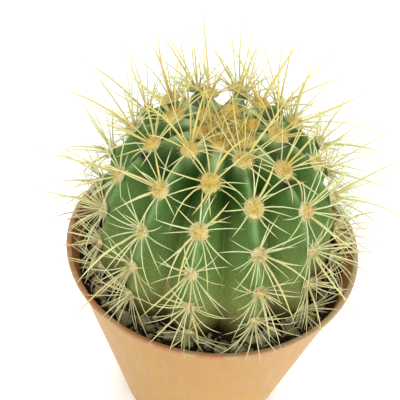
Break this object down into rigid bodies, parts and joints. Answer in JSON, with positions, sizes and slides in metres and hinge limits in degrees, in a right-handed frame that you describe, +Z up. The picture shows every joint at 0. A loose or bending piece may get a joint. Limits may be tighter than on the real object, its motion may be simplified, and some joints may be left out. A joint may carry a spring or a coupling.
{
  "type": "potted round cactus",
  "caption": "Round ribbed cactus with woolly areoles and long golden spines, growing in gritty soil in a tapered terracotta-coloured plastic nursery pot.",
  "frame": {"origin": "centre of the pot's flat underside", "axes": "+Z up along the pot's axis, -Y towards the front"},
  "size_m": [0.1221, 0.1216, 0.1495],
  "materials": {
    "pot_plastic": "satin",
    "grit_soil": "matte",
    "cactus_skin": "satin",
    "cactus_spines": "satin",
    "areole_wool": "matte"
  },
  "bodies": {
    "root": {"pot": "pot_plastic", "soil": "grit_soil", "cactus": "cactus_skin"}
  },
  "joints": []
}
